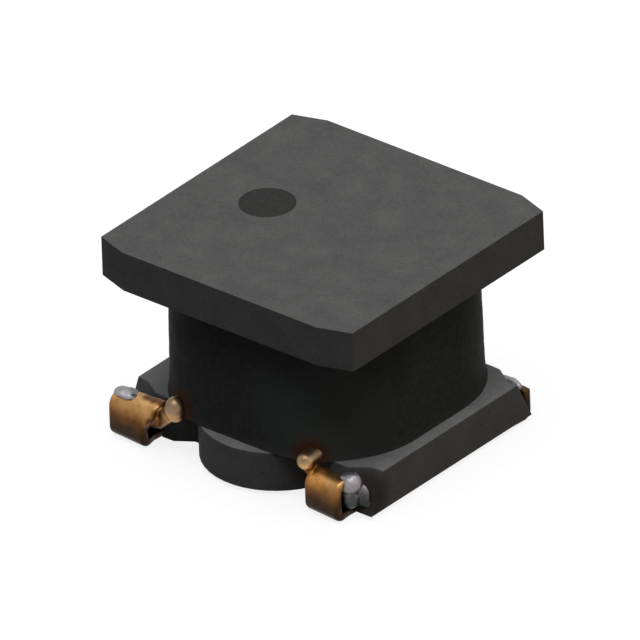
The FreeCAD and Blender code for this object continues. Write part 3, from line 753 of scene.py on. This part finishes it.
def coil_tree():
    """A node tree that winds close layers of wire round an upright axis."""
    tree = bpy.data.node_groups.new("wound_wire", "GeometryNodeTree")
    tree.interface.new_socket("Geometry", in_out="INPUT", socket_type="NodeSocketGeometry")
    for label in ("Wire Diameter", "Inner Radius", "Height", "Start", "Turns"):
        tree.interface.new_socket(label, in_out="INPUT", socket_type="NodeSocketFloat")
    tree.interface.new_socket("Geometry", in_out="OUTPUT", socket_type="NodeSocketGeometry")
    given = tree.nodes.new("NodeGroupInput").outputs
    join = tree.nodes.new("GeometryNodeJoinGeometry")

    def maths(kind, first, second):
        node = tree.nodes.new("ShaderNodeMath")
        node.operation = kind
        for socket, value in zip(node.inputs, (first, second)):
            if isinstance(value, bpy.types.NodeSocket):
                tree.links.new(value, socket)
            else:
                socket.default_value = value
        return node.outputs[0]

    for layer in range(LAYERS):
        wires_out = maths("MULTIPLY", given["Wire Diameter"], layer + 0.5)
        radius = maths("ADD", given["Inner Radius"], wires_out)
        spiral = tree.nodes.new("GeometryNodeCurveSpiral")
        spiral.inputs["Resolution"].default_value = STEPS_A_TURN
        tree.links.new(given["Turns"], spiral.inputs["Rotations"])
        tree.links.new(radius, spiral.inputs["Start Radius"])
        tree.links.new(radius, spiral.inputs["End Radius"])
        tree.links.new(given["Height"], spiral.inputs["Height"])
        lift = tree.nodes.new("ShaderNodeCombineXYZ")
        tree.links.new(given["Start"], lift.inputs["Z"])
        place = tree.nodes.new("GeometryNodeTransform")
        tree.links.new(spiral.outputs["Curve"], place.inputs["Geometry"])
        tree.links.new(lift.outputs["Vector"], place.inputs["Translation"])
        ring = tree.nodes.new("GeometryNodeCurvePrimitiveCircle")
        ring.inputs["Resolution"].default_value = STEPS_ROUND_WIRE
        tree.links.new(maths("MULTIPLY", given["Wire Diameter"], 0.5), ring.inputs["Radius"])
        skin = tree.nodes.new("GeometryNodeCurveToMesh")
        skin.inputs["Fill Caps"].default_value = True
        tree.links.new(place.outputs["Geometry"], skin.inputs["Curve"])
        tree.links.new(ring.outputs["Curve"], skin.inputs["Profile Curve"])
        tree.links.new(skin.outputs["Mesh"], join.inputs["Geometry"])
    realize = tree.nodes.new("GeometryNodeRealizeInstances")
    paint = tree.nodes.new("GeometryNodeSetMaterial")
    paint.inputs["Material"].default_value = FINISHES["copper"]
    tree.links.new(join.outputs["Geometry"], realize.inputs["Geometry"])
    tree.links.new(realize.outputs["Geometry"], paint.inputs["Geometry"])
    tree.links.new(paint.outputs["Geometry"], tree.nodes.new("NodeGroupOutput").inputs["Geometry"])
    return tree


def make_coil():
    """The turns on the post, out of sight in the resin."""
    coil = bpy.data.objects.new("wire_coil", bpy.data.meshes.new("wire_coil"))
    bpy.context.scene.collection.objects.link(coil)
    wind = coil.modifiers.new("wind", "NODES")
    wind.node_group = coil_tree()
    wanted = {
        "Wire Diameter": WIRE * WOUND_SHARE * MM,
        "Inner Radius": POST_RADIUS * MM,
        "Height": WIRE * (COIL_ROWS - 1) * MM,
        "Start": (FOOT_TOP + COIL_LIFT + WIRE / 2) * MM,
        "Turns": float(COIL_ROWS - 1),
    }
    for item in wind.node_group.interface.items_tree:
        if item.item_type == "SOCKET" and item.in_out == "INPUT" and item.name in wanted:
            wind[item.identifier] = wanted[item.name]
    bake(coil)
    shade(coil, smooth=True)
    settle(coil, "winding")


# Solder: a fillet between each front leg and its ear, as a box's corners in the strap's own plane
FILLET_LOW = (-0.30, -2.62, 0.21)
FILLET_HIGH = (0.24, -2.20, 0.60)

# Lumps of solder beside and above each front leg: middle and half sizes
LUMPS = {
    "left": (((-2.72, -2.42, 0.60), (0.25, 0.22, 0.28)), ((-2.72, -2.53, 0.885), (0.28, 0.19, 0.085)),
             ((-2.66, -2.26, 0.33), (0.16, 0.16, 0.18))),
    "right": (((2.50, -2.41, 0.70), (0.23, 0.22, 0.22)), ((2.43, -2.39, 0.42), (0.27, 0.22, 0.27)),
              ((2.62, -2.24, 0.42), (0.21, 0.12, 0.24)), ((2.74, -2.20, 0.26), (0.11, 0.10, 0.12))),
}

# A bead over the top of each back leg: how far back, how high, and half sizes
BEAD_REACH = 2.24
BEAD_HEIGHT = 0.66
BEAD_SIZES = (0.32, 0.13, 0.12)

SOLDER_VOXEL = 0.016
SOLDER_SMOOTHING = 16
SOLDER_GRAIN = 0.02
SOLDER_GRAIN_SIZE = 0.16


def add_blob(shape, place, sizes, turn=0.0):
    """An ellipsoid of solder before it is melted into the rest."""
    spots = bmesh.ops.create_icosphere(shape, subdivisions=4, radius=1.0)["verts"]
    matrix = Matrix.Translation(place) @ Matrix.Rotation(turn, 4, "Z") @ Matrix.Diagonal((*sizes, 1))
    bmesh.ops.transform(shape, matrix=matrix, verts=spots)


def add_fillet(shape, turn, middle):
    """The block of solder behind a front leg, turned into the strap's plane."""
    spots = bmesh.ops.create_cube(shape, size=1.0)["verts"]
    size = Vector(FILLET_HIGH) - Vector(FILLET_LOW)
    centre = (Vector(FILLET_HIGH) + Vector(FILLET_LOW)) / 2
    matrix = (Matrix.Translation(middle) @ Matrix.Rotation(turn, 4, "Z") @ Matrix.Translation(centre)
              @ Matrix.Diagonal((*size, 1)))
    bmesh.ops.transform(shape, matrix=matrix, verts=spots)


def make_solder(name):
    """The solder of one terminal: a fillet behind the front leg, lumps beside it and a bead at the back."""
    along, _, middle = strap_frame(name)
    shape = bmesh.new()
    add_fillet(shape, -STRAP_SLANT, middle)
    for place, sizes in LUMPS[name]:
        add_blob(shape, Vector(place), sizes)
    add_blob(shape, middle + along * BEAD_REACH + UP * BEAD_HEIGHT, BEAD_SIZES, -STRAP_SLANT)
    joint = new_piece(f"solder_joint_{name}", shape, "solder", f"solder_{name}")
    melt(joint, SOLDER_VOXEL, SOLDER_SMOOTHING)
    for vertex in joint.data.vertices:
        place = vertex.co / (SOLDER_GRAIN_SIZE * MM)
        vertex.co += vertex.normal * (noise.noise(place) * SOLDER_GRAIN * MM)


# Ink dot: each ring's share of the radius and its height, from the recess to the face
DOT_STEPS = 144
DOT_RIM = 0.005
DOT_RINGS = ((0.985, CORE_TOP - DOT_THICK), (0.985, CORE_TOP - DOT_RIM), (0.975, CORE_TOP))
DOT_RAGGED = 0.008
DOT_RAGGED_PACE = 2.5


def make_dot():
    """The ink dot, its rim slightly uneven."""
    shape = bmesh.new()
    rings = []
    for radius_share, height in DOT_RINGS:
        ring = []
        for i in range(DOT_STEPS):
            angle = 2 * math.pi * i / DOT_STEPS
            way = Vector((math.cos(angle), math.sin(angle), 0))
            ragged = 1 + DOT_RAGGED * noise.noise(way * DOT_RAGGED_PACE)
            ring.append(Vector((DOT_X, 0, height)) + way * (DOT_RADIUS * radius_share * ragged))
        rings.append(ring)
    loft(shape, rings)
    dot = new_piece("ink_dot", shape, "ink", "polarity_mark")
    shade(dot, smooth=False)


def dress_nodes():
    """Each CAD node takes the finish of its slot in the record."""
    for part in frame["record"]["subparts"]:
        for slot in NODES[part["node"]].material_slots:
            slot.material = FINISHES[part["material_slot"]]


# Stage, in metres: a white floor and sky to look at, that throw little light on the part
FLOOR_SIZE = 4.0
FLOOR_ROUGHNESS = 0.9
FLOOR_SEEN = 0.20
FLOOR_BOUNCE = 0.08
FLOOR_GLOW = 0.84
SKY_SEEN = 1.0
SKY_FILL = 0.10
LAMP_DISTANCE = 0.5


def larger(tree, first, second):
    """The larger of two values."""
    node = tree.nodes.new("ShaderNodeMath")
    node.operation = "MAXIMUM"
    tree.links.new(first, node.inputs[0])
    tree.links.new(second, node.inputs[1])
    return node.outputs[0]


def seen_directly(tree):
    """1 for what the camera, a reflection or a clear surface sees, 0 for light that falls on things."""
    path = tree.nodes.new("ShaderNodeLightPath").outputs
    mirrored = larger(tree, path["Is Glossy Ray"], path["Is Transmission Ray"])
    return larger(tree, path["Is Camera Ray"], mirrored)


def two_greys(tree, lighting, seen, share):
    """One grey for the light that falls on things and another where it is seen."""
    node = tree.nodes.new("ShaderNodeMix")
    node.data_type = "RGBA"
    node.inputs[MIX_FIRST].default_value = (lighting, lighting, lighting, 1)
    node.inputs[MIX_SECOND].default_value = (seen, seen, seen, 1)
    tree.links.new(share, node.inputs[MIX_SHARE])
    return node.outputs[MIX_RESULT]


def make_floor():
    """A pale floor that glows where it is seen, so that it reads as white with soft shadows."""
    mesh = bpy.data.meshes.new("floor")
    half = FLOOR_SIZE / 2
    mesh.from_pydata([(-half, -half, 0), (half, -half, 0), (half, half, 0), (-half, half, 0)],
                     [], [(0, 1, 2, 3)])
    floor = bpy.data.objects.new("floor", mesh)
    bpy.context.scene.collection.objects.link(floor)
    material = bpy.data.materials.new("pale_floor")
    material.use_nodes = True
    tree = material.node_tree
    shader = tree.nodes["Principled BSDF"]
    shader.inputs["Roughness"].default_value = FLOOR_ROUGHNESS
    shader.inputs["Specular IOR Level"].default_value = 0.0
    seen = seen_directly(tree)
    tree.links.new(two_greys(tree, FLOOR_BOUNCE, FLOOR_SEEN, seen), shader.inputs["Base Color"])
    shader.inputs["Emission Color"].default_value = (*WHITE, 1)
    glow = tree.nodes.new("ShaderNodeMath")
    glow.operation = "MULTIPLY"
    glow.inputs[1].default_value = FLOOR_GLOW
    tree.links.new(seen, glow.inputs[0])
    tree.links.new(glow.outputs[0], shader.inputs["Emission Strength"])
    mesh.materials.append(material)


def make_sky():
    """A white sky where it is seen, and a weak even light from all round."""
    world = bpy.data.worlds.new("studio")
    bpy.context.scene.world = world
    world.use_nodes = True
    tree = world.node_tree
    shade_of_sky = two_greys(tree, SKY_FILL, SKY_SEEN, seen_directly(tree))
    tree.links.new(shade_of_sky, tree.nodes["Background"].inputs["Color"])


def lamp(name, direction, size, power, colour):
    """A soft square lamp that shines at the part from a direction, power in W per square metre there."""
    data = bpy.data.lights.new(name, "AREA")
    data.size = size
    data.color = colour
    away = Vector(direction).normalized()
    data.energy = power * math.pi * LAMP_DISTANCE ** 2
    light = bpy.data.objects.new(name, data)
    bpy.context.scene.collection.objects.link(light)
    light.location = away * LAMP_DISTANCE
    light.rotation_euler = away.to_track_quat("Z", "Y").to_euler()


def make_lights():
    """A large lamp overhead and a weak warm one low on the right."""
    lamp("key_above", (0.03, -0.05, 1.0), 0.50, 3.9, (1.0, 1.0, 0.995))
    lamp("warm_right", (1.0, 0.20, 0.35), 0.30, 0.29, (1.0, 0.80, 0.60))


make_camera()
dress_nodes()
make_core()
make_resin()
make_coil()
for end in SIDES:
    make_terminal(end)
    make_solder(end)
make_dot()
make_floor()
make_sky()
make_lights()
bpy.context.scene.view_settings.view_transform = "Standard"
